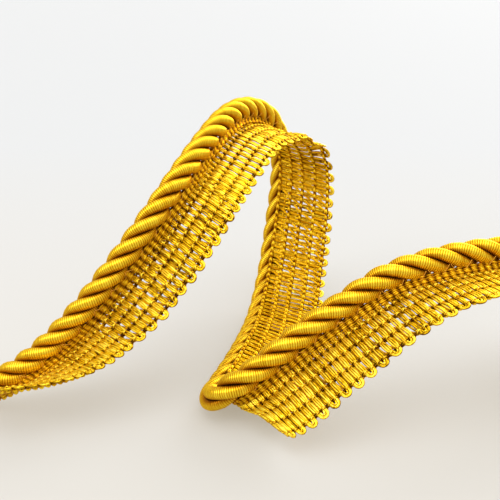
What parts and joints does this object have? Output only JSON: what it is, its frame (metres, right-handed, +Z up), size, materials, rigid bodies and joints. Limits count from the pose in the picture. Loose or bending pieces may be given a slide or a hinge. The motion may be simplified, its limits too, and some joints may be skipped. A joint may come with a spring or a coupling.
{
  "type": "flanged piping cord",
  "caption": "Cut length of twisted satin cord joined along one side of a knitted tape with a looped edge, lying in two loose arches.",
  "frame": {"origin": "on the ground under the middle of the whole piece", "axes": "+Z up, +X along the piece from its left end to its right end, -Y towards the viewer"},
  "size_m": [0.1885, 0.1119, 0.0689],
  "materials": {
    "satin_cord": "satin gold thread wound round each ply",
    "knitted_yarn": "shiny gold yarn, knitted"
  },
  "bodies": {
    "root": {"twisted_cord": "satin_cord", "flange_tape": "knitted_yarn"}
  },
  "joints": []
}
